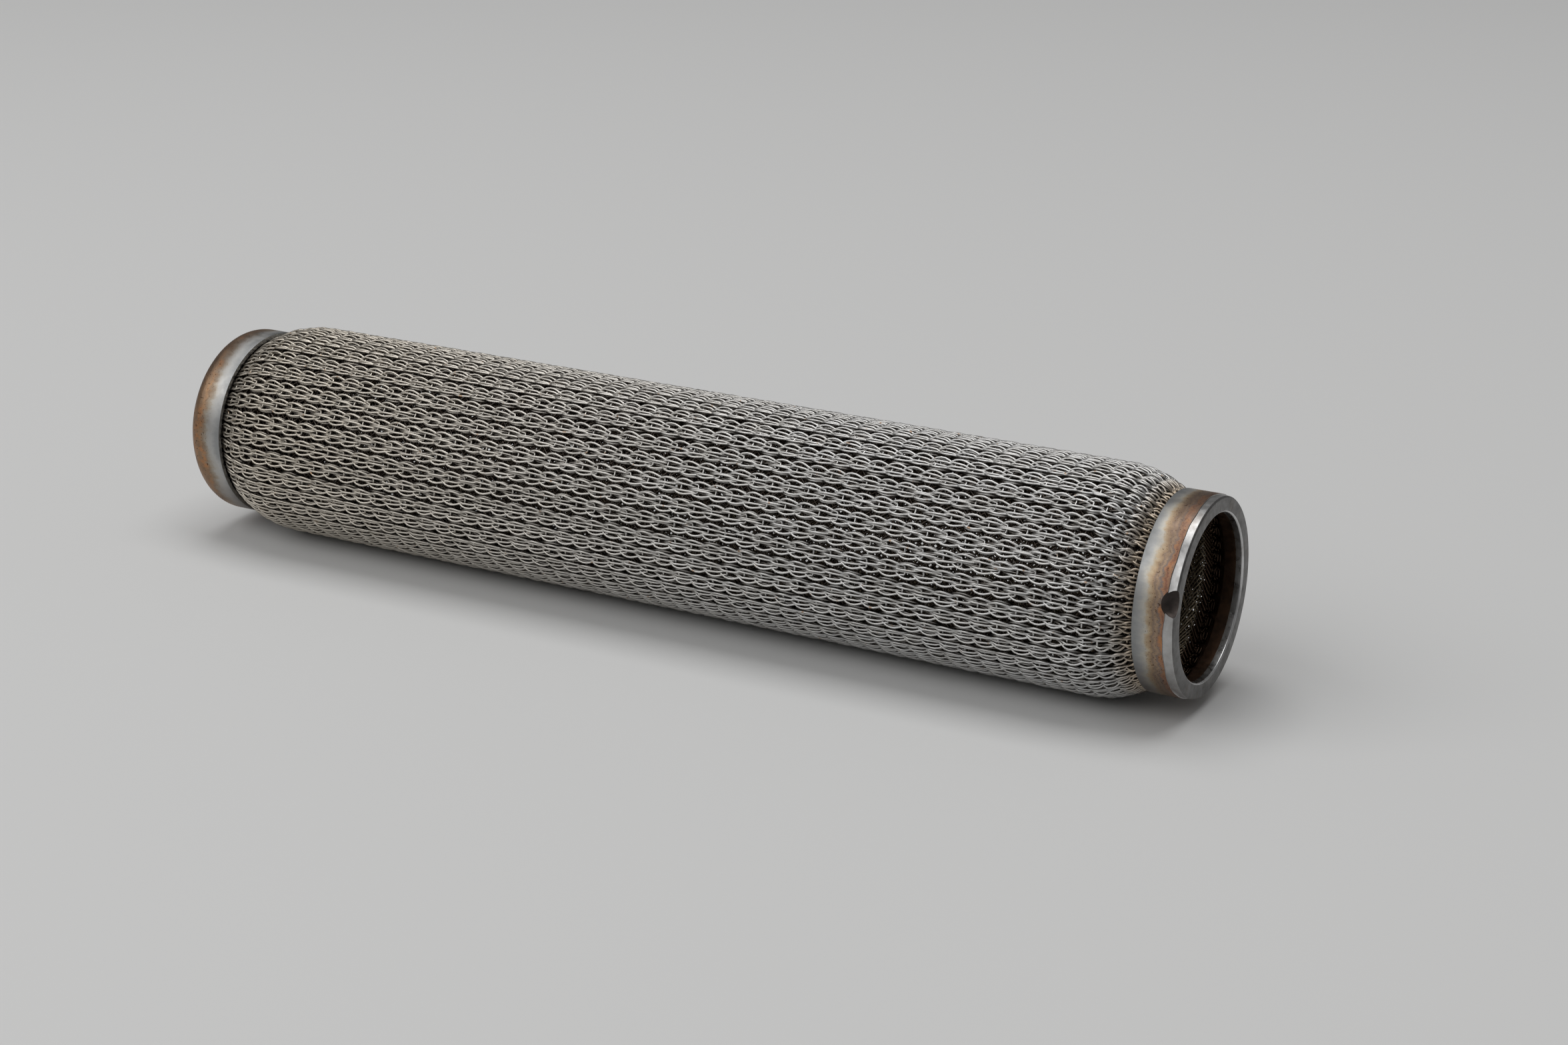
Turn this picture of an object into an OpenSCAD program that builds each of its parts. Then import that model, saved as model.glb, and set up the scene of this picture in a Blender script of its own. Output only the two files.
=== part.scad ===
// Filter element: a knitted wire sleeve held between a turned collar and a cup-shaped end cap.
// It lies on its side. +X points out of the open mouth, +Z is up, and the origin is on the
// surface that it lies on, under the middle of its length.

/* [Knitted sleeve] */
// Outside diameter over the wales, the ridges of loops that run along the sleeve
sleeve_od = 38.8; // [37:0.1:46]
// Length of knit that shows between the two end fittings
knit_len = 181.3; // [120:0.1:300]
// Thickness of the knit from the inside to the crest of a wale
knit_t = 1.8; // [1.4:0.1:2]
// Thickness of the knit where it is squeezed into a fitting
neck_t = 1.4; // [1.2:0.1:1.6]
// Number of wales round the sleeve
wales = 36; // [30:1:38]
// Width of one wale
wale_w = 2.6; // [2.2:0.1:2.8]
// Height of a wale above the valley beside it
ridge_h = 0.7; // [0.4:0.1:0.9]
// Radius of the shoulder where the sleeve narrows into a fitting
shoulder_r = 16.7; // [12:0.1:24]
// Depth of the flat where the springy knit rests on a surface
rest_flat = 0.4; // [0.2:0.05:0.5]

/* [Gaps between the wales] */
// Gaps along each valley
gap_rows = 3; // [1:1:3]
// Width of a gap
gap_w = 0.8; // [0.5:0.1:1]
// Length of knit that is left between two gaps of one valley
gap_bridge = 8; // [4:0.5:14]

/* [Front collar] */
// Outside diameter of the collar
collar_od = 33.4; // [32.8:0.1:34.5]
// Length of the collar along the axis
collar_len = 7; // [6:0.1:10]
// Diameter of the mouth
bore_d = 27.7; // [25:0.1:27.9]
// Thickness of the flange round the mouth
flange_t = 3.3; // [2.5:0.1:4]
// Wall of the skirt that holds the knit
collar_wall = 0.8; // [0.6:0.1:1]
// Diameter of the turned land at the front of the collar
land_od = 33; // [32:0.1:33.2]
// Length of the turned land
land_len = 1.4; // [0.8:0.1:2]
// Chamfer on the collar's turned edges
edge_chamfer = 0.25; // [0.1:0.05:0.4]

/* [Notch in the front edge] */
// Radius of the round cutter that scooped the notch
notch_r = 2.9; // [2.4:0.1:3.5]
// Depth of the notch into the front face, from the land inwards
notch_depth = 1.15; // [0.8:0.05:1.6]
// Turn of the notch from the top of the collar towards -Y, in degrees
notch_turn = 75; // [0:1:180]

/* [End cap] */
// Outside diameter of the cap
cap_od = 34.4; // [33.4:0.1:36]
// Length of the cap along the axis
cap_len = 7.9; // [6.5:0.1:10]
// Wall of the cap's skirt
cap_wall = 0.8; // [0.6:0.1:1]
// Thickness of the closed end
cap_floor = 2; // [1.6:0.1:3]
// Radius of the rounded rim
cap_rim_r = 3.2; // [2:0.1:3.5]

/* [Fits] */
// Radial clearance between the knit and the skirt round it
knit_fit = 0.1; // [0.05:0.01:0.2]

/* [Hidden] */
$fn = 96;

steel_wire = [0.72, 0.71, 0.68];
steel_collar = [0.62, 0.58, 0.53];
steel_cap = [0.58, 0.55, 0.5];

// Stations along the axis, counted from the middle of the length
overall_len = collar_len + knit_len + cap_len;
front_z = overall_len / 2;
front_seat_z = front_z - flange_t;
collar_edge_z = front_z - collar_len;
back_z = overall_len / 2;
back_seat_z = back_z - cap_floor;
cap_edge_z = back_z - cap_len;

// Radii
sleeve_r = sleeve_od / 2;
collar_r = collar_od / 2;
collar_bore_r = collar_r - collar_wall;
bore_r = bore_d / 2;
land_r = land_od / 2;
cap_r = cap_od / 2;
cap_bore_r = cap_r - cap_wall;
front_neck_r = collar_bore_r - knit_fit;
back_neck_r = cap_bore_r - knit_fit;

// Height of the axis above the surface that the sleeve lies on
axis_h = sleeve_r - rest_flat;

// A cut that goes clear through what it cuts
clear = 1;

wale_pitch = 360 / wales;
wale_r = wale_w / 2;
// Room between the crests of the wales and the shoulders' own outline
crest_spare = 0.05;
// Depth of a gap's cutter, from inside the knit to outside it
gap_cut = knit_t + 2 * clear;

// Angle that the shoulder's arc turns through before it reaches a neck
function shoulder_angle(neck_r) = acos(1 - (sleeve_r - neck_r) / shoulder_r);
// Length of the shoulder along the axis
function shoulder_len(neck_r) = shoulder_r * sin(shoulder_angle(neck_r));

front_tangent_z = collar_edge_z - shoulder_len(front_neck_r);
back_tangent_z = cap_edge_z - shoulder_len(back_neck_r);

// Gaps fill the straight length of the sleeve, in even rows with a bridge between them
straight_len = front_tangent_z + back_tangent_z;
gap_pitch = straight_len / (gap_rows + 0.5);
gap_len = gap_pitch - gap_bridge;

// Lays the element on its side: what is drawn along +Z here points along +X
module lying() {
    translate([0, 0, axis_h])
        rotate([0, 90, 0])
            children();
}

// Half section of one end of the sleeve, filled in to the axis and set in by inset from the
// crests. It runs from the sleeve's middle to the neck's end.
module half_outline(inset, neck_inset, tangent_z, neck_r, end_z) {
    square([sleeve_r - inset, tangent_z]);
    intersection() {
        translate([sleeve_r - shoulder_r, tangent_z])
            circle(shoulder_r - inset);
        translate([0, tangent_z])
            square([sleeve_r - inset, shoulder_len(neck_r)]);
    }
    square([neck_r - neck_inset, end_z]);
}

// Solid of revolution of the whole sleeve. Its necks run past their seats by reach.
module sleeve_solid(inset, neck_inset, reach) {
    rotate_extrude() {
        half_outline(inset, neck_inset, front_tangent_z, front_neck_r, front_seat_z + reach);
        mirror([0, 1])
            half_outline(inset, neck_inset, back_tangent_z, back_neck_r, back_seat_z + reach);
    }
}

// Cross-section of the sleeve with its wales, filled in to the axis
module lobed_section() {
    circle(sleeve_r - ridge_h);
    for (turn = [0 : wales - 1])
        rotate(turn * wale_pitch)
            translate([sleeve_r - wale_r, 0])
                circle(wale_r);
}

// Cutter for one long gap with round ends, through the wall on the +X side
module gap_cutter() {
    end_offset = (gap_len - gap_w) / 2;
    translate([sleeve_r - knit_t - clear, 0, 0])
        rotate([0, 90, 0]) {
            translate([-end_offset, -gap_w / 2, 0])
                cube([2 * end_offset, gap_w, gap_cut]);
            for (side = [-1, 1])
                translate([side * end_offset, 0, 0])
                    cylinder(d = gap_w, h = gap_cut);
        }
}

// Rows of gaps in every valley. Neighbouring valleys are staggered by half a row.
module gap_cutters() {
    for (valley = [0 : wales - 1], row = [0 : gap_rows - 1]) {
        stagger = (valley % 2) / 2;
        rotate([0, 0, (valley + 0.5) * wale_pitch])
            translate([0, 0, (row + 0.5 + stagger) * gap_pitch - back_tangent_z])
                gap_cutter();
    }
}

module knit_sleeve() {
    color(steel_wire)
        lying()
            difference() {
                intersection() {
                    translate([0, 0, -back_seat_z])
                        linear_extrude(back_seat_z + front_seat_z)
                            lobed_section();
                    sleeve_solid(-crest_spare, 0, clear);
                }
                sleeve_solid(knit_t, neck_t, 2 * clear);
                gap_cutters();
                translate([axis_h, -sleeve_r, -back_z])
                    cube([sleeve_r, sleeve_od, overall_len]);
            }
}

// Half section of the collar: a flange round the mouth and a skirt behind it
module collar_section() {
    polygon([
        [bore_r, front_seat_z],
        [bore_r, front_z - edge_chamfer],
        [bore_r + edge_chamfer, front_z],
        [land_r - edge_chamfer, front_z],
        [land_r, front_z - edge_chamfer],
        [land_r, front_z - land_len],
        [collar_r, front_z - land_len],
        [collar_r, collar_edge_z],
        [collar_bore_r, collar_edge_z],
        [collar_bore_r, front_seat_z],
    ]);
}

module front_collar() {
    color(steel_collar)
        lying()
            difference() {
                rotate_extrude()
                    collar_section();
                rotate([0, 0, 180 + notch_turn])
                    translate([land_r - notch_depth + notch_r, 0, front_z])
                        sphere(notch_r);
            }
}

// Half section of the cap: a cup with a rounded rim and a flat seat for the knit
module cap_section() {
    difference() {
        union() {
            square([cap_r - cap_rim_r, back_z]);
            square([cap_r, back_z - cap_rim_r]);
            translate([cap_r - cap_rim_r, back_z - cap_rim_r])
                circle(cap_rim_r);
        }
        square([cap_bore_r, back_seat_z]);
        square([cap_r + clear, cap_edge_z]);
    }
}

module end_cap() {
    color(steel_cap)
        lying()
            mirror([0, 0, 1])
                rotate_extrude()
                    cap_section();
}

knit_sleeve();
front_collar();
end_cap();
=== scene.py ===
"""Looks of a tubular filter element: a sleeve of knitted wire, a turned collar and an end cap."""
import math
from collections import namedtuple

import bmesh
import bpy
import numpy as np
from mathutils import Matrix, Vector


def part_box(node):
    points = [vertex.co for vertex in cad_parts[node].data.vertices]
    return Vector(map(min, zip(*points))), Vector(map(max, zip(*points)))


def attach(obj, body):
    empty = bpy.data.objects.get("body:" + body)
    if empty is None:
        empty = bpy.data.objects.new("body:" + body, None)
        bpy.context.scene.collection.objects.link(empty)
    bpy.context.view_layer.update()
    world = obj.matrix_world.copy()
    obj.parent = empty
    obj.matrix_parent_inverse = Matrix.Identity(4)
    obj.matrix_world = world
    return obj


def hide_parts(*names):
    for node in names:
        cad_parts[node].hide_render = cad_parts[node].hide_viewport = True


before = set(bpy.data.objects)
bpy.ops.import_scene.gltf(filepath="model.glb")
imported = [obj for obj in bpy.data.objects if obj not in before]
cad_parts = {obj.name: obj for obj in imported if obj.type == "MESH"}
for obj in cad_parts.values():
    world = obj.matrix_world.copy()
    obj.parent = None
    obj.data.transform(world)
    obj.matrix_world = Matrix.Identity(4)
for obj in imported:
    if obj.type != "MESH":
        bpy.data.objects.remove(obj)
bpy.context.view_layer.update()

MM = 0.001

# Places and sizes that the frame gives
sleeve_lo, sleeve_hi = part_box("knit_sleeve")
collar_lo, collar_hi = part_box("front_collar")
cap_lo, cap_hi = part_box("end_cap")
SLEEVE_R = (sleeve_hi.y - sleeve_lo.y) / 2
AXIS_Z = sleeve_hi.z - SLEEVE_R
COLLAR_R = (collar_hi.y - collar_lo.y) / 2
CAP_R = (cap_hi.y - cap_lo.y) / 2
FRONT_X, COLLAR_EDGE_X = collar_hi.x, collar_lo.x
BACK_X, CAP_EDGE_X = cap_lo.x, cap_hi.x
FRONT_SEAT_X, BACK_SEAT_X = sleeve_hi.x, sleeve_lo.x

# Fittings
FITTING_WALL = 0.8 * MM
KNIT_FIT = 0.1 * MM
BORE_R = 13.85 * MM
BORE_LAND_LEN = 1.3 * MM
LAND_R = 16.5 * MM
LAND_LEN = 1.4 * MM
EDGE_CHAMFER = 0.25 * MM
EDGE_ROUND = 0.1 * MM
ROUND_STEPS = 3
NOTCH_R = 2.9 * MM
NOTCH_DEPTH = 1.15 * MM
NOTCH_ANGLE = math.radians(165)
NOTCH_SEGMENTS = 64
CAP_RIM_R = 3.2 * MM
RIM_STEPS = 9
LATHE_STEPS = 192
SAME_POINT = 0.001 * MM
SHARP = math.radians(35)
# Waves of the land's back edge: how many round the collar, their height in millimetres and phase
SKIM_WAVES = [(1, 0.30, math.radians(70)), (3, 0.10, 0.7), (11, 0.05, 0.0), (23, 0.035, 1.3)]
# Points that follow those waves: how near to the land's step, and how far below the land
SKIM_REACH = 0.35 * MM
SKIM_SINK = 0.15 * MM

# Knit
WALES = 36
WALE_PITCH = math.tau / WALES
COURSE_PITCH = 3.31 * MM
WIRE_R = 0.195 * MM
WIRE_SIDES = 5
SHOULDER_R = 16.7 * MM
# Length of neck over which the outward direction stops leaning
STRAIGHTEN = 1.0 * MM
# Depth in a fitting from which the courses are squeezed, and the share of their length left there
HOLD_IN = 1.0 * MM
SQUEEZE = 0.25
FIRST_WALE = math.radians(1.5)
TWIST_EVEN = math.radians(2.45)
TWIST_BEND = math.radians(-0.75)
KNIT_GROUPS = 6
# Slow drift of the knit: courses from one knot to the next, and spread in wales or in courses
WALE_DRIFT_STEP = 12
WALE_DRIFT_SPREAD = 0.03
COURSE_DRIFT_STEP = 6
COURSE_DRIFT_SPREAD = 0.03
SPARE_KNOTS = 4
rng = np.random.default_rng(38)

# Half a loop from the middle of its sinker to the middle of its head: courses along the sleeve,
# wales across it, and depth below the crest in millimetres. The loops of one wale take turns:
# wide ones, whose legs stand apart over the bar below them, and close ones, whose legs meet.
WIDE_LOOP = [
    (-1.10, 0.50, 1.10), (-1.02, 0.25, 1.15), (-0.90, 0.13, 1.00), (-0.70, 0.13, 0.60),
    (-0.45, 0.15, 0.22), (-0.18, 0.175, 0.03), (0.10, 0.165, 0.06), (0.40, 0.13, 0.40),
    (0.75, 0.10, 1.00), (1.05, 0.12, 1.00), (1.34, 0.18, 0.66), (1.53, 0.265, 0.28),
    (1.74, 0.355, 0.06), (1.98, 0.39, 0.00), (2.22, 0.36, 0.05), (2.44, 0.295, 0.22),
    (2.64, 0.245, 0.40), (2.80, 0.215, 0.46), (2.83, 0.00, 0.46),
]
CLOSE_LOOP = [
    (-1.10, 0.50, 1.10), (-1.02, 0.22, 1.20), (-0.88, 0.06, 1.00), (-0.68, 0.04, 0.60),
    (-0.40, 0.045, 0.30), (-0.15, 0.05, 0.22), (0.15, 0.05, 0.24), (0.45, 0.07, 0.50),
    (0.78, 0.11, 1.00), (1.02, 0.14, 1.00), (1.33, 0.18, 0.66), (1.52, 0.255, 0.28),
    (1.74, 0.335, 0.06), (1.99, 0.365, 0.02), (2.23, 0.335, 0.08), (2.44, 0.27, 0.26),
    (2.64, 0.23, 0.42), (2.80, 0.205, 0.46), (2.83, 0.00, 0.46),
]
# A second, deeper arc beside each close loop's own
SIDE_ARC = [
    (1.30, 0.22, 1.05), (1.52, 0.31, 0.82), (1.76, 0.375, 0.62), (2.00, 0.405, 0.55),
    (2.22, 0.395, 0.60), (2.44, 0.335, 0.80), (2.64, 0.25, 1.05),
]
ARC_NODES = 6
# How far one leg of a close loop goes down and the other up, in millimetres, and how many courses
# from the loop's own line that holds
LEG_STACK = 0.2
LEG_REACH = 0.5
# Nodes along half a loop, counted in its points: few on the leg, more on the arc and the bar's corner
LEG_STOPS = [0, 1.3, 2.6, 4.6, 6.6, 8.4]
ARC_STOPS = np.linspace(10, 15.4, 7)
BAR_STOPS = [16.2, 16.8, 17.3, 18]
HALF_STOPS = np.concatenate([LEG_STOPS, ARC_STOPS, BAR_STOPS])
# Spread of the loops' own differences: in courses, wales and millimetres of depth
LOOP_SPREAD = np.array([0.035, 0.02, 0.03])
LOOP_KNOTS = 5
# Courses that are pressed together at the collar, how much, and how much more they differ there
PRESSED_COURSES = 7
PRESSED_SHARE = 0.3
PRESSED_SPREAD = 2.2
# Inner windings each way, the distance of their nodes and how far they stay from the first course,
# both in courses, and their depth and how far they weave over and under, in millimetres
WINDINGS = 96
WINDING_STEP = 1.5
WINDING_INSET = 2
WINDING_DEPTH = 1.22
WINDING_WEAVE = 0.08

RING_TURNS = np.arange(WIRE_SIDES) * math.tau / WIRE_SIDES
# Depth of each point of a ring below the middle of its wire, in millimetres
RING_SINK = -np.cos(RING_TURNS) * WIRE_R / MM

# One end of the sleeve: where its shoulder starts, how far that turns, and the lengths along the
# crest line to the knit's end and to where the fitting squeezes it
SleeveEnd = namedtuple("SleeveEnd", "tangent_x turn reach hold")
# A wire: its rings of points, the depth of each ring, and whether it closes on itself
Wire = namedtuple("Wire", "rings depth closed")


def sleeve_end(edge_x, seat_x, fitting_r):
    """The end that goes into a fitting with this edge, seat and outside radius."""
    neck_r = fitting_r - FITTING_WALL - KNIT_FIT
    turn = math.acos(1 - (SLEEVE_R - neck_r) / SHOULDER_R)
    tangent_x = edge_x - SHOULDER_R * math.sin(turn)
    neck_start = tangent_x + SHOULDER_R * turn
    reach = neck_start + (seat_x - edge_x) - WIRE_R
    return SleeveEnd(tangent_x, turn, reach, neck_start + HOLD_IN)


FRONT_END = sleeve_end(COLLAR_EDGE_X, FRONT_SEAT_X, COLLAR_R)
BACK_END = sleeve_end(-CAP_EDGE_X, -BACK_SEAT_X, CAP_R)
PRESS_START = FRONT_END.hold / COURSE_PITCH - PRESSED_COURSES


def crest_line(length):
    """Station, radius and outward direction (along the axis, away from it) at lengths from the middle."""
    station, radius, lean_x, lean_r = (np.zeros_like(length) for _ in range(4))
    for side, end in ((1, FRONT_END), (-1, BACK_END)):
        here = side * length >= 0
        run = np.minimum(side * length[here], end.reach)
        bend = np.clip((run - end.tangent_x) / SHOULDER_R, 0, end.turn)
        past = np.maximum(run - end.tangent_x - SHOULDER_R * end.turn, 0)
        lean = bend * np.clip(1 - past / STRAIGHTEN, 0, 1)
        station[here] = side * (np.minimum(run, end.tangent_x) + SHOULDER_R * np.sin(bend) + past)
        radius[here] = SLEEVE_R - SHOULDER_R * (1 - np.cos(bend))
        lean_x[here] = side * np.sin(lean)
        lean_r[here] = np.cos(lean)
    return station, radius, lean_x, lean_r


def course_length(course):
    """Distance of a course along the crest line, from mid-length, pressed together at the ends."""
    over = np.maximum(course - PRESS_START, 0)
    length = (course - over * over * PRESSED_SHARE / (2 * PRESSED_COURSES)) * COURSE_PITCH
    length -= np.maximum(length - FRONT_END.hold, 0) * (1 - SQUEEZE)
    return length + np.maximum(-length - BACK_END.hold, 0) * (1 - SQUEEZE)


def press(course):
    """How much a course is pressed against the collar, from 0 to 1."""
    return np.clip((course - PRESS_START) / PRESSED_COURSES, 0, 1)


def shows(course):
    """Whether a course has an arc or a leg outside the fittings."""
    arc_end, leg_start = WIDE_LOOP[-3][0], WIDE_LOOP[1][0]
    before_cap = course_length(course + arc_end) > -BACK_END.hold
    return before_cap and course_length(course + leg_start) < FRONT_END.hold


# Twice as many courses each way as the straight pitch gives, because those at the ends lie closer
most_courses = round(FRONT_X / COURSE_PITCH) * 2
courses = np.array([c for c in range(-most_courses, most_courses) if shows(c)])


def smooth_noise(step, spread):
    """Seeded noise for every wale and course, smooth over step courses."""
    knots = rng.normal(0, spread, (WALES, len(courses) // step + SPARE_KNOTS))
    at = np.arange(len(courses)) / step
    low = at.astype(int)
    t = (at - low)[None, :]
    t = t * t * (3 - 2 * t)
    return knots[:, low] * (1 - t) + knots[:, low + 1] * t


wale_drift = smooth_noise(WALE_DRIFT_STEP, WALE_DRIFT_SPREAD)
course_drift = smooth_noise(COURSE_DRIFT_STEP, COURSE_DRIFT_SPREAD)


def field(values, wale, course):
    """A value for every wale and course, read between them."""
    low = np.clip(np.floor(course - courses[0]).astype(int), 0, len(courses) - 2)
    along = np.clip(course - courses[0] - low, 0, 1)
    left = np.floor(wale).astype(int)
    across = wale - left
    total = 0
    for step, share in ((0, 1 - across), (1, across)):
        row = (left + step) % WALES
        total = total + share * (values[row, low] * (1 - along) + values[row, low + 1] * along)
    return total


def on_sleeve(nodes, first_wale, course):
    """Turns nodes in courses, wales and millimetres of depth into points and outward directions."""
    wale = first_wale + nodes[..., 1]
    course = course + nodes[..., 0]
    length = course_length(course + field(course_drift, wale, course))
    x, r, lean_x, lean_r = crest_line(length)
    share = x / FRONT_X
    turn = wale + field(wale_drift, wale, course)
    angle = FIRST_WALE + WALE_PITCH * turn + TWIST_EVEN * share + TWIST_BEND * share ** 2
    sink = WIRE_R + np.maximum(nodes[..., 2], 0) * MM
    r = r - sink * lean_r
    points = np.stack([x - sink * lean_x, r * np.cos(angle), AXIS_Z + r * np.sin(angle)], -1)
    outward = np.stack([lean_x, lean_r * np.cos(angle), lean_r * np.sin(angle)], -1)
    points[..., 2] = np.maximum(points[..., 2], WIRE_R)
    return points, outward


def spline_weights(count, stops):
    """Catmull-Rom weights that turn count control points, with one spare at each end, into nodes."""
    rows = np.zeros((len(stops), count + 2))
    for row, stop in zip(rows, stops):
        i = min(int(stop), count - 2)
        t = stop - i
        row[i:i + 4] = [
            -0.5 * t + t * t - 0.5 * t ** 3,
            1 - 2.5 * t * t + 1.5 * t ** 3,
            0.5 * t + 2 * t * t - 1.5 * t ** 3,
            -0.5 * t * t + 0.5 * t ** 3,
        ]
    return rows


LOOP_POINTS = 2 * len(WIDE_LOOP) - 1
LOOP_STOPS = np.concatenate([HALF_STOPS, LOOP_POINTS - 1 - HALF_STOPS[-2:0:-1]])
LOOP_WEIGHTS = spline_weights(LOOP_POINTS, LOOP_STOPS)
ARC_WEIGHTS = spline_weights(len(SIDE_ARC), np.linspace(0, len(SIDE_ARC) - 1, ARC_NODES))


def tube_faces(rings, closed):
    """Quads between neighbouring rings of one wire."""
    ring = np.arange(rings if closed else rings - 1)[:, None]
    side = np.arange(WIRE_SIDES)[None, :]
    after = (ring + 1) % rings
    turn = (side + 1) % WIRE_SIDES
    corners = [ring * WIRE_SIDES + side, ring * WIRE_SIDES + turn]
    corners += [after * WIRE_SIDES + turn, after * WIRE_SIDES + side]
    return np.stack(corners, -1).reshape(-1, 4)


def tube_points(centres, outward, closed):
    """Rings of points round a wire along centres."""
    if closed:
        ahead = np.roll(centres, -1, 0) - np.roll(centres, 1, 0)
    else:
        ahead = np.gradient(centres, axis=0)
    ahead /= np.linalg.norm(ahead, axis=-1, keepdims=True)
    across = np.cross(ahead, outward)
    across /= np.linalg.norm(across, axis=-1, keepdims=True)
    up = np.cross(across, ahead)
    ring = [up * math.cos(t) + across * math.sin(t) for t in RING_TURNS]
    return centres[:, None, :] + WIRE_R * np.stack(ring, 1)


def mesh_object(name, points, face_arrays):
    """A smooth mesh from points and arrays of faces, each array with its own number of corners."""
    mesh = bpy.data.meshes.new(name)
    mesh.vertices.add(len(points))
    mesh.vertices.foreach_set("co", np.asarray(points, np.float32).ravel())
    corners = np.concatenate([f.ravel() for f in face_arrays]).astype(np.int32)
    sizes = np.concatenate([np.full(len(f), f.shape[1]) for f in face_arrays])
    mesh.loops.add(len(corners))
    mesh.loops.foreach_set("vertex_index", corners)
    mesh.polygons.add(len(sizes))
    starts = np.concatenate([[0], np.cumsum(sizes)[:-1]])
    mesh.polygons.foreach_set("loop_start", starts.astype(np.int32))
    mesh.polygons.foreach_set("use_smooth", np.ones(len(sizes), dtype=bool))
    mesh.update(calc_edges=True)
    obj = bpy.data.objects.new(name, mesh)
    bpy.context.scene.collection.objects.link(obj)
    return obj


def whole_loop(half):
    """The half loop and its mirror image, from one sinker's middle to the next."""
    half = np.array(half)
    left = half * np.array([1, -1, 1])
    return np.vstack([left, half[-2::-1]])


def jitter(count, course):
    """Smooth seeded differences between one loop and the next, larger where the knit is pressed."""
    spread = LOOP_SPREAD * (1 + PRESSED_SPREAD * press(course))
    knots = rng.normal(0, 1, (LOOP_KNOTS, 3)) * spread
    at = np.linspace(0, LOOP_KNOTS - 1, count)
    return np.stack([np.interp(at, np.arange(LOOP_KNOTS), knots[:, axis]) for axis in range(3)], -1)


def is_wide(course, wale):
    """Whether the loop of a course in a wale is a wide one."""
    return (course + wale) % 2 == 0


def course_loops(course):
    """Control points of all the loops of one course."""
    loops = []
    for wale in range(WALES):
        if is_wide(course, wale):
            loop = whole_loop(WIDE_LOOP)
        else:
            loop = whole_loop(CLOSE_LOOP)
            lower = 1 if rng.random() < 0.5 else -1
            legs = np.abs(loop[:, 0]) < LEG_REACH
            loop[legs, 2] += np.where(loop[legs, 1] * lower > 0, LEG_STACK, -LEG_STACK)
        loop[1:-1] += jitter(len(loop) - 2, course)
        loops.append(loop)
    return np.array(loops)


def course_wire(course):
    """One course of loops as a closed wire."""
    loops = course_loops(course)
    one_wale = np.array([0, 1, 0])
    before = np.roll(loops, 1, 0)[:, -2:-1] - one_wale
    after = np.roll(loops, -1, 0)[:, 1:2] + one_wale
    nodes = np.einsum("nc,wcd->wnd", LOOP_WEIGHTS, np.concatenate([before, loops, after], 1))
    points, outward = on_sleeve(nodes, np.arange(WALES)[:, None], course)
    rings = tube_points(points.reshape(-1, 3), outward.reshape(-1, 3), True)
    return Wire(rings, nodes[..., 2].ravel(), True)


def open_wire(nodes, first_wale, course):
    """A wire with two ends along nodes."""
    points, outward = on_sleeve(nodes, first_wale, course)
    return Wire(tube_points(points, outward, False), nodes[:, 2], False)


def side_arcs(course):
    """The deeper arcs on both sides of a course's close loops."""
    for wale in range(WALES):
        if is_wide(course, wale):
            continue
        for side in (-1, 1):
            arc = np.array(SIDE_ARC) * np.array([1, side, 1])
            arc += jitter(len(arc), course)
            padded = np.vstack([2 * arc[0] - arc[1], arc, 2 * arc[-1] - arc[-2]])
            yield open_wire(ARC_WEIGHTS @ padded, wale, course)


def knit_wires(group):
    """All the wires of a run of courses."""
    wires = []
    for course in group:
        wires.append(course_wire(course))
        wires += side_arcs(course)
    return wires


def inner_windings():
    """Wires that wind both ways round the inside of the knit and cross there in stars."""
    stations = np.arange(courses[0] + WINDING_INSET, courses[-1] + 1, WINDING_STEP)
    weave = WINDING_WEAVE * np.where(np.arange(len(stations)) % 2 == 0, 1, -1)
    wires = []
    for way in (-1, 1):
        for wale in np.arange(WINDINGS) * WALES / WINDINGS:
            nodes = np.stack([stations, wale + way * stations, WINDING_DEPTH + way * weave], -1)
            nodes += jitter(len(nodes), 0)
            wires.append(open_wire(nodes, 0, 0))
    return wires


def wire_piece(name, wires):
    """Wires as one mesh, which remembers how deep in the knit each point lies."""
    points, quads, ends, depths, start = [], [], [], [], 0
    for wire in wires:
        points.append(wire.rings.reshape(-1, 3))
        depths.append(np.add.outer(wire.depth, RING_SINK).ravel())
        quads.append(tube_faces(len(wire.rings), wire.closed) + start)
        if not wire.closed:
            ring = np.arange(WIRE_SIDES)
            ends.append(start + ring[::-1])
            ends.append(start + (len(wire.rings) - 1) * WIRE_SIDES + ring)
        start += len(wire.rings) * WIRE_SIDES
    obj = mesh_object(name, np.vstack(points), [np.vstack(quads), np.array(ends)])
    attribute = obj.data.attributes.new("depth", "FLOAT", "POINT")
    attribute.data.foreach_set("value", np.concatenate(depths).astype(np.float32))
    return obj


# A noise's middle value, and spans of its values: nearly all of them, and those that make a mottle
NOISE_MIDDLE = 0.5
NOISE_SPAN = (0.3, 0.7)
MOTTLE_SPAN = (0.35, 0.7)
BUMP_STRENGTH = 0.5
# Sockets of the mix node that hold colours, by number because its names are used twice
MIX_A, MIX_B, MIX_OUT = 6, 7, 2

# Colours of the wire's crests: bright, and straw towards the cap from this station on
WIRE_BRIGHT = (0.60, 0.595, 0.585)
WIRE_STRAW = (0.60, 0.55, 0.475)
STRAW_START_X = 50 * MM
WIRE_MOTTLE = (0.38, 0.355, 0.31)
WIRE_RUST = (0.36, 0.20, 0.09)
WIRE_RUST_SPAN = (0.69, 0.75)
WIRE_ROUGHNESS = (0.32, 0.46)
# Stain in front of the collar, and the wire that the collar holds
WIRE_STAIN = (0.42, 0.30, 0.17)
STAIN_LEN = 4.5 * MM
WIRE_HELD = (0.07, 0.045, 0.03)
HELD_START_X, HELD_END_X = COLLAR_EDGE_X - 0.3 * MM, COLLAR_EDGE_X + 0.4 * MM
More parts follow.
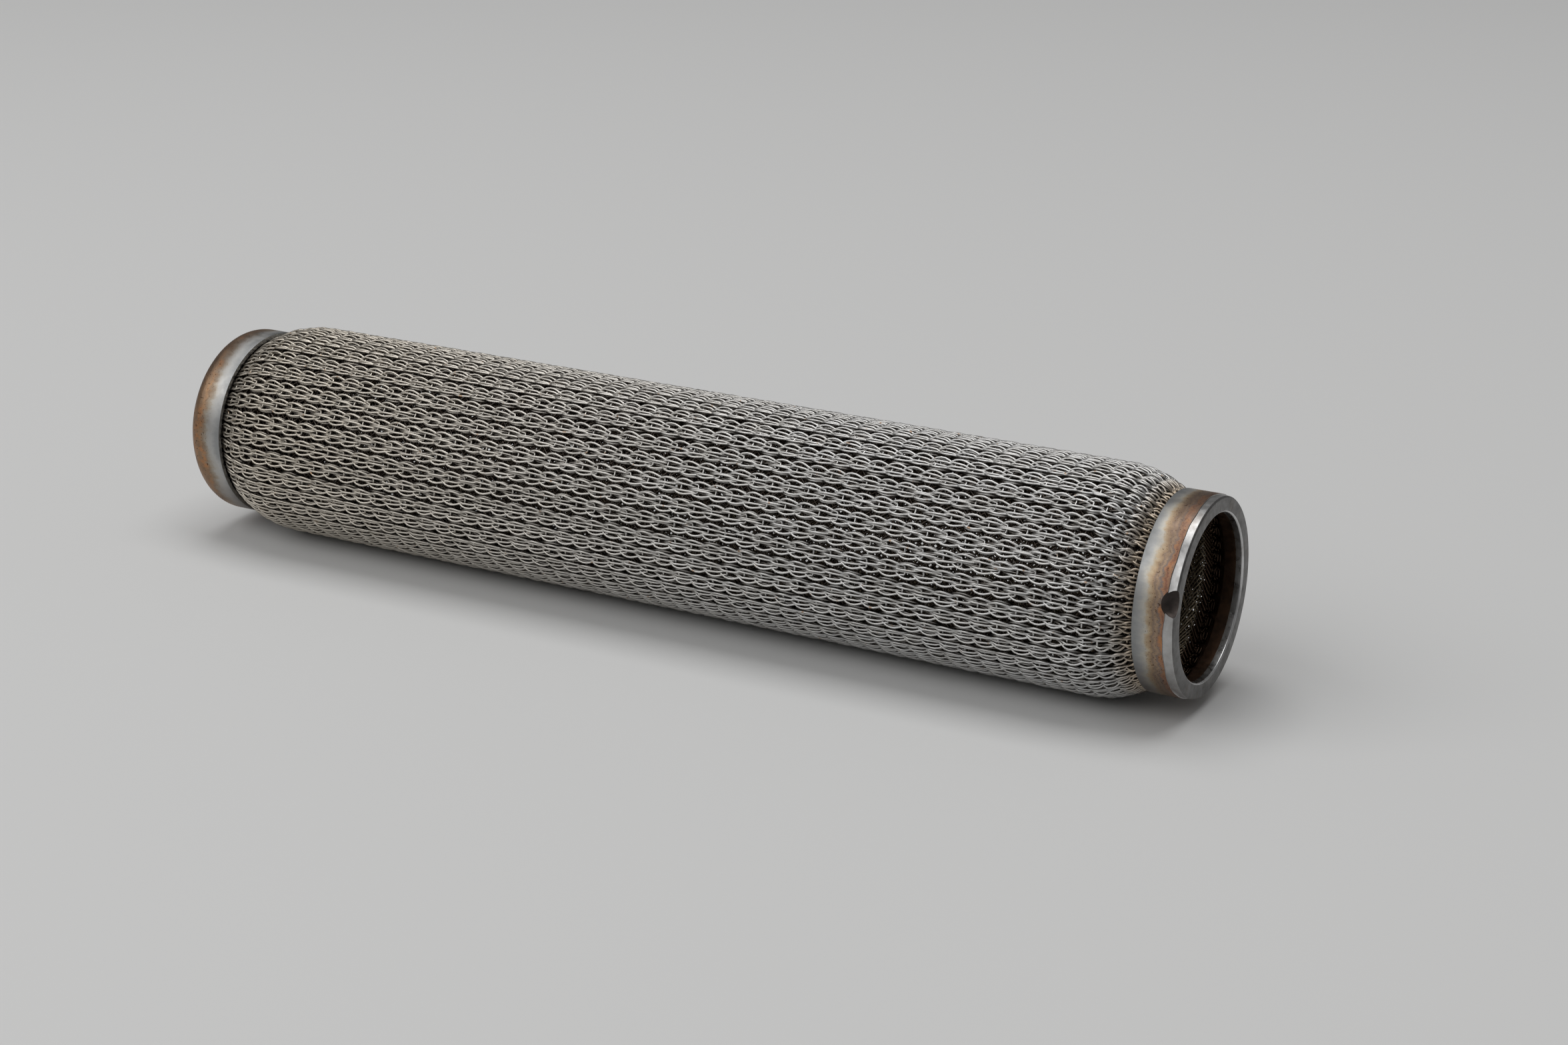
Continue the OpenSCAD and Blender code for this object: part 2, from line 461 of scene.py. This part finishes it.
# Painted shade that darkens the wire below its crests, then the brown of its inner side, each with the
# depths in millimetres over which it comes in
WIRE_DEPTH_SHADE_AND_INNER_BROWN = [
    ((0.25, 0.75), (0.22, 0.20, 0.18)),
    ((0.75, 1.1), (0.045, 0.033, 0.026)),
    ((1.25, 1.4), (0.42, 0.35, 0.25)),
]

# Light and dull colours of turned and of stained steel, and the notch's dark colour, which is painted
# shade
LAND_STEEL = ((0.46, 0.455, 0.45), (0.35, 0.342, 0.335))
BRIGHT_STEEL = ((0.60, 0.60, 0.60), (0.50, 0.495, 0.49))
FACE_STEEL = ((0.20, 0.196, 0.192), (0.13, 0.126, 0.122))
INSIDE_STEEL = ((0.12, 0.07, 0.045), (0.06, 0.04, 0.03))
# The notch is coloured dark as painted shade in its hollow
NOTCH_SHADE = ((0.075, 0.062, 0.056), (0.04, 0.034, 0.032))
EVEN_DARK_ROUGHNESS = (0.4, 0.6)
TURNED_STAIN = (0.17, 0.13, 0.10)
TURNED_STAIN_SPAN = (0.58, 0.72)
# How much the roughness of one turned surface varies
TURNED_SPREAD = 0.12
# Lathe lines: their distance, and their depth where they are fine and on the front face
LINE_PITCH = 0.17 * MM
FINE_LINES = 0.001 * MM
FACE_LINES = 0.003 * MM

# Heat tint by share of the fitting's length from the knit, and where rust shows most: start, most, end
COLLAR_BANDS = [
    (0.00, (0.27, 0.275, 0.275)), (0.14, (0.34, 0.34, 0.335)), (0.27, (0.46, 0.44, 0.395)),
    (0.35, (0.45, 0.36, 0.25)), (0.44, (0.35, 0.25, 0.16)), (0.50, (0.24, 0.18, 0.14)),
    (0.56, (0.35, 0.25, 0.17)), (0.62, (0.20, 0.165, 0.15)), (0.67, (0.36, 0.20, 0.12)),
    (0.72, (0.24, 0.12, 0.085)), (0.77, (0.34, 0.19, 0.12)), (0.88, (0.18, 0.13, 0.11)),
]
COLLAR_PATCH = (0.56, 0.70, 0.84)
# Share of painted shade on the collar's lower side
COLLAR_LOW_SHADE = 0.6
CAP_BANDS = [
    (0.00, (0.31, 0.315, 0.315)), (0.16, (0.43, 0.425, 0.415)), (0.29, (0.42, 0.405, 0.38)),
    (0.38, (0.35, 0.305, 0.25)), (0.46, (0.30, 0.225, 0.16)), (0.55, (0.36, 0.22, 0.125)),
    (0.63, (0.27, 0.18, 0.115)), (0.76, (0.31, 0.19, 0.11)), (0.86, (0.25, 0.165, 0.105)),
    (0.96, (0.29, 0.265, 0.235)),
]
CAP_PATCH = (0.40, 0.58, 0.85)
# Share of painted shade on the cap's lower side
CAP_LOW_SHADE = 0.45
# How far the bands wander, as shares of the fitting's length: in slow waves and in fine ripples
TINT_WAVE = 0.5
TINT_RIPPLE = 0.36
# Shares of the length over which the marks of welding come in
WELD_SPAN = (0.2, 0.5)
TINT_RUST = (0.44, 0.215, 0.10)
TINT_RUST_SPAN = (0.50, 0.61)
TINT_BLOTCH = (0.19, 0.13, 0.09)
TINT_BLOTCH_SPAN = (0.46, 0.7)
TINT_ROUGHNESS = (0.4, 0.54)
# Painted shade on the lower side and a stain on the upper side, by height above the axis
LOW_SHADE_AND_HIGH_STAIN = (0.15, 0.105, 0.08)
LOW_SHADE_SPAN = (-5 * MM, -15 * MM)
HIGH_STAIN_SPAN = (9 * MM, 15 * MM)
HIGH_STAIN = 0.55
# Dark specks, as scales of noise and the values at which they start
TINT_SPECK = (0.07, 0.035, 0.02)
SPECK_NOISES = [(1500.0, 0.66), (3800.0, 0.64)]
SPECK_EDGE = 0.05
# Relief of the brush marks, and how many times higher weld scale stands
BRUSH_RELIEF = 0.012 * MM
WELD_SCALE = 2.0


class Nodes:
    """Short calls that add shader nodes to a new material and join them."""

    def __init__(self, name):
        self.material = bpy.data.materials.new(name)
        self.material.use_nodes = True
        self.tree = self.material.node_tree
        self.shader = self.tree.nodes["Principled BSDF"]

    def join(self, value, socket):
        """Links a socket, or sets it to a plain value."""
        if isinstance(value, bpy.types.NodeSocket):
            self.tree.links.new(value, socket)
        else:
            socket.default_value = value

    def add(self, kind, inputs, **settings):
        """A new node with its settings and inputs."""
        node = self.tree.nodes.new(kind)
        for name, value in settings.items():
            setattr(node, name, value)
        for name, value in inputs.items():
            self.join(value, node.inputs[name])
        return node

    def position(self):
        """The point on the element, in its own frame."""
        return self.add("ShaderNodeTexCoord", {}).outputs["Object"]

    def axes(self):
        """The point's X, Y and Z."""
        return self.add("ShaderNodeSeparateXYZ", {"Vector": self.position()}).outputs

    def math(self, operation, a, b=0.0):
        """One operation on one or two values."""
        return self.add("ShaderNodeMath", {0: a, 1: b}, operation=operation).outputs[0]

    def radius(self):
        """Distance from the element's axis."""
        axes = self.axes()
        height = self.math("SUBTRACT", axes["Z"], AXIS_Z)
        square = self.math("ADD", self.math("POWER", axes["Y"], 2.0), self.math("POWER", height, 2.0))
        return self.math("SQRT", square)

    def span(self, value, low, high, to_low=0.0, to_high=1.0):
        """A smooth step from to_low to to_high, as the value goes from low to high."""
        inputs = {"Value": value, "From Min": low, "From Max": high, "To Min": to_low, "To Max": to_high}
        node = self.add("ShaderNodeMapRange", inputs, interpolation_type="SMOOTHSTEP")
        return node.outputs["Result"]

    def noise(self, scale, detail=3.0, roughness=0.55, stretch=None):
        """Noise by position, with scale cells to the metre, or stretch times as many along each axis."""
        vector = self.position()
        if stretch:
            scaled = self.add("ShaderNodeVectorMath", {0: vector, 1: stretch}, operation="MULTIPLY")
            vector = scaled.outputs[0]
        inputs = {"Vector": vector, "Scale": scale, "Detail": detail, "Roughness": roughness}
        return self.add("ShaderNodeTexNoise", inputs).outputs["Fac"]

    def mix(self, share, a, b):
        """Colour a, with a share of colour b."""
        node = self.add("ShaderNodeMix", {}, data_type="RGBA")
        self.join(share, node.inputs["Factor"])
        for colour, socket in ((a, node.inputs[MIX_A]), (b, node.inputs[MIX_B])):
            self.join(colour if isinstance(colour, bpy.types.NodeSocket) else (*colour, 1), socket)
        return node.outputs[MIX_OUT]

    def ramp(self, value, stops):
        """Colours that follow each other along a value."""
        node = self.add("ShaderNodeValToRGB", {"Fac": value})
        elements = node.color_ramp.elements
        while len(elements) < len(stops):
            elements.new(1)
        for element, (position, colour) in zip(elements, stops):
            element.position = position
            element.color = (*colour, 1)
        return node.outputs["Color"]

    def bump(self, height, distance):
        """Fine relief of the surface."""
        inputs = {"Height": height, "Distance": distance, "Strength": BUMP_STRENGTH}
        self.join(self.add("ShaderNodeBump", inputs).outputs["Normal"], self.shader.inputs["Normal"])

    def metal(self, colour, roughness):
        """Finishes the material as bare metal."""
        self.shader.inputs["Metallic"].default_value = 1
        self.join(colour, self.shader.inputs["Base Color"])
        self.join(roughness, self.shader.inputs["Roughness"])
        return self.material


def wire_material():
    """Drawn stainless wire: straw towards the far end, stained brown at the collar, darkened below its
    crests by painted shade, and brown on its inner side.
    """
    n = Nodes("knit_wire")
    x = n.axes()["X"]
    colour = n.mix(n.span(x, STRAW_START_X, BACK_X), WIRE_BRIGHT, WIRE_STRAW)
    mottle = n.span(n.noise(260.0), *MOTTLE_SPAN, to_high=0.3)
    colour = n.mix(mottle, colour, WIRE_MOTTLE)
    rust = n.span(n.noise(900.0, detail=2.0), *WIRE_RUST_SPAN, to_high=0.75)
    colour = n.mix(rust, colour, WIRE_RUST)
    stain = n.span(x, COLLAR_EDGE_X - STAIN_LEN, COLLAR_EDGE_X, to_high=0.65)
    colour = n.mix(stain, colour, WIRE_STAIN)
    depth = n.add("ShaderNodeAttribute", {}, attribute_name="depth").outputs["Fac"]
    # Painted shade: the wire darkens with depth below its crests, and the deepest, inner side turns brown
    for span, deeper in WIRE_DEPTH_SHADE_AND_INNER_BROWN:
        colour = n.mix(n.span(depth, *span), colour, deeper)
    colour = n.mix(n.span(x, HELD_START_X, HELD_END_X), colour, WIRE_HELD)
    return n.metal(colour, n.span(n.noise(700.0), *NOISE_SPAN, *WIRE_ROUGHNESS))


def turned_material(name, colours, line_depth, roughness):
    """Turned steel with fine lathe lines round the axis."""
    n = Nodes(name)
    across_lines = n.math("ADD", n.radius(), n.axes()["X"])
    n.bump(n.math("SINE", n.math("MULTIPLY", across_lines, math.tau / LINE_PITCH)), line_depth)
    mottle = n.span(n.noise(420.0, detail=5.0, roughness=0.65), *MOTTLE_SPAN)
    colour = n.mix(mottle, *colours)
    stain = n.span(n.noise(170.0, detail=4.0), *TURNED_STAIN_SPAN, to_high=0.4)
    colour = n.mix(stain, colour, TURNED_STAIN)
    return n.metal(colour, n.span(n.noise(900.0), *NOISE_SPAN, roughness, roughness + TURNED_SPREAD))


def even_dark_material(name, colours):
    """Smooth steel of an even dark colour: a stain inside the fittings, and painted shade in the notch.
    """
    n = Nodes(name)
    colour = n.mix(n.span(n.noise(400.0, detail=4.0), *MOTTLE_SPAN), *colours)
    return n.metal(colour, n.span(n.noise(900.0), *NOISE_SPAN, *EVEN_DARK_ROUGHNESS))


def tinted_material(name, share, bands, patch, low_shade):
    """Steel with bands of weld heat tint and painted shade on its lower side. share turns X into the
    share of the fitting's length.
    """
    n = Nodes(name)
    axes = n.axes()
    along = n.math("ADD", n.math("MULTIPLY", axes["X"], share[0]), share[1])
    slow = n.noise(120.0, detail=2.0, roughness=0.5, stretch=(0.2, 1.0, 1.0))
    fine = n.noise(650.0, detail=4.0, roughness=0.65, stretch=(0.5, 1.0, 1.0))
    moved = along
    for noise, reach in ((slow, TINT_WAVE), (fine, TINT_RIPPLE)):
        about_zero = n.math("SUBTRACT", noise, NOISE_MIDDLE)
        moved = n.math("ADD", moved, n.math("MULTIPLY", about_zero, reach))
    colour = n.ramp(moved, bands)
    welded = n.span(along, *WELD_SPAN)

    patch_start, patch_most, patch_end = patch
    rising, falling = n.span(moved, patch_start, patch_most), n.span(moved, patch_end, patch_most)
    spots = n.span(n.noise(330.0, detail=4.0, roughness=0.6), *TINT_RUST_SPAN, to_high=0.85)
    rust = n.math("MULTIPLY", spots, n.math("MULTIPLY", rising, falling))
    colour = n.mix(rust, colour, TINT_RUST)
    blotch = n.span(n.noise(480.0, detail=6.0, roughness=0.7), *TINT_BLOTCH_SPAN, to_high=0.6)
    colour = n.mix(n.math("MULTIPLY", blotch, welded), colour, TINT_BLOTCH)

    height = n.math("SUBTRACT", axes["Z"], AXIS_Z)
    # Painted shade darkens the lower side, and a stain near the weld darkens the upper side
    low = n.span(height, *LOW_SHADE_SPAN, to_high=low_shade)
    high = n.math("MULTIPLY", n.span(height, *HIGH_STAIN_SPAN, to_high=HIGH_STAIN), welded)
    colour = n.mix(n.math("MAXIMUM", low, high), colour, LOW_SHADE_AND_HIGH_STAIN)
    for scale, start in SPECK_NOISES:
        speck = n.span(n.noise(scale, detail=2.0), start, start + SPECK_EDGE, to_high=0.9)
        colour = n.mix(n.math("MULTIPLY", speck, welded), colour, TINT_SPECK)

    brush_marks = n.noise(900.0, detail=2.0, roughness=0.5, stretch=(12.0, 1.0, 1.0))
    weld_scale = n.math("MULTIPLY", n.noise(2400.0), n.math("MULTIPLY", welded, WELD_SCALE))
    n.bump(n.math("ADD", brush_marks, weld_scale), BRUSH_RELIEF)
    return n.metal(colour, n.span(n.noise(500.0, detail=4.0), *NOISE_SPAN, *TINT_ROUGHNESS))


def rounded(corners):
    """A closed outline with rounded corners, none over a third of a side, and each point's surface."""
    points, tags = [], []
    for i, (corner, tag) in enumerate(corners):
        here = Vector(corner)
        tag_before = corners[i - 1][1]
        back = Vector(corners[i - 1][0]) - here
        ahead = Vector(corners[(i + 1) % len(corners)][0]) - here
        cut = min(EDGE_ROUND, back.length / 3, ahead.length / 3)
        first, last = here + back.normalized() * cut, here + ahead.normalized() * cut
        for step in range(ROUND_STEPS):
            t = step / (ROUND_STEPS - 1)
            points.append(first.lerp(here, t).lerp(here.lerp(last, t), t))
            tags.append(tag if step > 0 else tag_before)
    return points, tags


def lathe(name, corners, materials, move=None):
    """A solid of revolution about the element's axis. corners hold stations, radii and surfaces."""
    outline, tags = rounded(corners)
    count = len(outline)
    turns = np.arange(LATHE_STEPS) * math.tau / LATHE_STEPS
    stations = np.array([p[0] for p in outline])[None, :] + np.zeros((LATHE_STEPS, 1))
    radii = np.array([p[1] for p in outline])[None, :]
    if move:
        stations = stations + move(stations, radii, turns[:, None])
    y = radii * np.cos(turns)[:, None]
    z = AXIS_Z + radii * np.sin(turns)[:, None]
    points = np.stack([stations, y, z], -1).reshape(-1, 3)
    step = np.arange(LATHE_STEPS)[:, None]
    point = np.arange(count)[None, :]
    after, turn = (point + 1) % count, (step + 1) % LATHE_STEPS
    quads = [step * count + point, turn * count + point, turn * count + after, step * count + after]
    obj = mesh_object(name, points, [np.stack(quads, -1).reshape(-1, 4)])
    for material in materials:
        obj.data.materials.append(material)
    obj.data.polygons.foreach_set("material_index", np.tile(np.array(tags, np.int32), LATHE_STEPS))
    form = bmesh.new()
    form.from_mesh(obj.data)
    bmesh.ops.remove_doubles(form, verts=form.verts, dist=SAME_POINT)
    form.to_mesh(obj.data)
    form.free()
    obj.data.set_sharp_from_angle(angle=SHARP)
    return obj


def skim_edge(stations, radii, turns):
    """The land's back edge wanders, because the skim cut ran over a surface that isn't quite round."""
    step_x = FRONT_X - LAND_LEN
    at_step = (np.abs(stations - step_x) < SKIM_REACH) & (radii > LAND_R - SKIM_SINK)
    waves = sum(height * np.sin(count * turns + phase) for count, height, phase in SKIM_WAVES)
    return np.where(at_step, waves * MM, 0)


def scoop(obj, material):
    """Cuts the round notch out of the collar's front edge."""
    mesh = bpy.data.meshes.new("notch_cutter")
    cutter = bpy.data.objects.new("notch_cutter", mesh)
    bpy.context.scene.collection.objects.link(cutter)
    form = bmesh.new()
    segments = {"u_segments": NOTCH_SEGMENTS, "v_segments": NOTCH_SEGMENTS // 2}
    bmesh.ops.create_uvsphere(form, radius=NOTCH_R, **segments)
    form.to_mesh(mesh)
    form.free()
    mesh.materials.append(material)
    mesh.polygons.foreach_set("use_smooth", np.ones(len(mesh.polygons), dtype=bool))
    away = LAND_R - NOTCH_DEPTH + NOTCH_R
    cutter.location = (FRONT_X, away * math.cos(NOTCH_ANGLE), AXIS_Z + away * math.sin(NOTCH_ANGLE))
    cut = obj.modifiers.new("notch", "BOOLEAN")
    cut.object = cutter
    cut.operation = "DIFFERENCE"
    cut.solver = "EXACT"
    cut.material_mode = "TRANSFER"
    bpy.context.view_layer.update()
    shown = obj.evaluated_get(bpy.context.evaluated_depsgraph_get())
    obj.modifiers.clear()
    obj.data = bpy.data.meshes.new_from_object(shown)
    bpy.data.objects.remove(cutter)
    obj.data.set_sharp_from_angle(angle=SHARP)


def collar_piece(inside_steel):
    """The collar: flange, bright bore, turned face and land, tinted outside and stained skirt."""
    skirt_r = COLLAR_R - FITTING_WALL
    tint, land, bright, face, brown = range(5)
    corners = [
        ((FRONT_SEAT_X, BORE_R), brown),
        ((FRONT_X - BORE_LAND_LEN, BORE_R), bright),
        ((FRONT_X - EDGE_CHAMFER, BORE_R), bright),
        ((FRONT_X, BORE_R + EDGE_CHAMFER), face),
        ((FRONT_X, LAND_R - EDGE_CHAMFER), face),
        ((FRONT_X - EDGE_CHAMFER, LAND_R), land),
        ((FRONT_X - LAND_LEN, LAND_R), land),
        ((FRONT_X - LAND_LEN, COLLAR_R), tint),
        ((COLLAR_EDGE_X, COLLAR_R), tint),
        ((COLLAR_EDGE_X, skirt_r), brown),
        ((FRONT_SEAT_X, skirt_r), brown),
    ]
    length = FRONT_X - COLLAR_EDGE_X
    share = (1 / length, -COLLAR_EDGE_X / length)
    materials = [
        tinted_material("collar_heat_tint", share, COLLAR_BANDS, COLLAR_PATCH, COLLAR_LOW_SHADE),
        turned_material("turned_land", LAND_STEEL, FINE_LINES, roughness=0.3),
        turned_material("turned_bright", BRIGHT_STEEL, FINE_LINES, roughness=0.26),
        turned_material("turned_face", FACE_STEEL, FACE_LINES, roughness=0.38),
        inside_steel,
    ]
    obj = lathe("collar", corners, materials, skim_edge)
    # The notch's dark colour is painted shade
    scoop(obj, even_dark_material("notch_painted_shade", NOTCH_SHADE))
    return obj


def cap_piece(inside_steel):
    """The cap: a cup with a rounded rim, tinted outside and stained inside."""
    skirt_r = CAP_R - FITTING_WALL
    tint, brown = range(2)
    corners = [((BACK_X, 0), tint), ((BACK_X, CAP_R - CAP_RIM_R), tint)]
    for step in range(1, RIM_STEPS):
        turn = step / RIM_STEPS * math.pi / 2
        rim = (BACK_X + CAP_RIM_R * (1 - math.cos(turn)), CAP_R - CAP_RIM_R * (1 - math.sin(turn)))
        corners.append((rim, tint))
    corners += [
        ((BACK_X + CAP_RIM_R, CAP_R), tint),
        ((CAP_EDGE_X, CAP_R), tint),
        ((CAP_EDGE_X, skirt_r), brown),
        ((BACK_SEAT_X, skirt_r), brown),
        ((BACK_SEAT_X, 0), brown),
    ]
    length = CAP_EDGE_X - BACK_X
    share = (-1 / length, CAP_EDGE_X / length)
    tint_steel = tinted_material("cap_heat_tint", share, CAP_BANDS, CAP_PATCH, CAP_LOW_SHADE)
    return lathe("cap", corners, [tint_steel, inside_steel])


def hand_over(piece, node):
    """Puts a piece in the place of its node."""
    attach(piece, "root")
    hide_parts(node)


wire_steel = wire_material()
dark_steel = even_dark_material("inside_steel", INSIDE_STEEL)
knit_runs = {"knit_inside": inner_windings()}
for number, group in enumerate(np.array_split(courses, KNIT_GROUPS), 1):
    knit_runs[f"knit_{number}"] = knit_wires(group)
for run_name, run_wires in knit_runs.items():
    knit = wire_piece(run_name, run_wires)
    knit.data.materials.append(wire_steel)
    hand_over(knit, "knit_sleeve")
hand_over(collar_piece(dark_steel), "front_collar")
hand_over(cap_piece(dark_steel), "end_cap")

# Stage, in metres and watts, with the camera's lens and sensor in millimetres
FLOOR_HALF = 4.0
FLOOR_COLOUR = (0.66, 0.66, 0.655, 1)
FLOOR_ROUGHNESS = 0.75
LAMP_AIM = (0, 0, 0.02)
KEY_PLACE = (-0.70, -1.05, 1.20)
KEY_SIZE = (1.9, 1.3)
KEY_POWER = 13.5
TOP_PLACE = (0.0, 0.24, 1.85)
TOP_SIZE = (1.75, 1.0)
TOP_POWER = 16
WORLD_COLOUR = (0.5, 0.5, 0.5, 1)
WORLD_STRENGTH = 0.36
LENS = 64.79
SENSOR_WIDTH = 36
CAMERA_PLACE = (0.2427, -0.3993, AXIS_Z + 0.1637)
CAMERA_TURN = (math.radians(70.20), 0, math.radians(29.16))


def floor():
    """The plain pale floor."""
    n = Nodes("floor")
    n.shader.inputs["Base Color"].default_value = FLOOR_COLOUR
    n.shader.inputs["Roughness"].default_value = FLOOR_ROUGHNESS
    corners = np.array([(-1, -1, 0), (1, -1, 0), (1, 1, 0), (-1, 1, 0)]) * FLOOR_HALF
    obj = mesh_object("floor", corners, [np.array([[0, 1, 2, 3]])])
    obj.data.materials.append(n.material)


def softbox(name, location, size, power):
    """A large soft lamp that faces the element."""
    lamp = bpy.data.lights.new(name, "AREA")
    lamp.shape = "RECTANGLE"
    lamp.size, lamp.size_y = size
    lamp.energy = power
    obj = bpy.data.objects.new(name, lamp)
    bpy.context.scene.collection.objects.link(obj)
    obj.location = location
    obj.rotation_euler = (obj.location - Vector(LAMP_AIM)).to_track_quat("Z", "Y").to_euler()


def surroundings():
    """Even grey light from all sides."""
    world = bpy.data.worlds.new("studio")
    bpy.context.scene.world = world
    world.use_nodes = True
    background = world.node_tree.nodes["Background"]
    background.inputs["Color"].default_value = WORLD_COLOUR
    background.inputs["Strength"].default_value = WORLD_STRENGTH


def camera():
    """The camera, at the angle that was fitted to the element's circles and outline."""
    view = bpy.data.cameras.new("camera")
    view.lens = LENS
    view.sensor_width = SENSOR_WIDTH
    obj = bpy.data.objects.new("camera", view)
    bpy.context.scene.collection.objects.link(obj)
    obj.location = CAMERA_PLACE
    obj.rotation_euler = CAMERA_TURN
    bpy.context.scene.camera = obj


floor()
softbox("key", KEY_PLACE, KEY_SIZE, KEY_POWER)
softbox("top", TOP_PLACE, TOP_SIZE, TOP_POWER)
surroundings()
camera()
bpy.context.scene.view_settings.view_transform = "Standard"
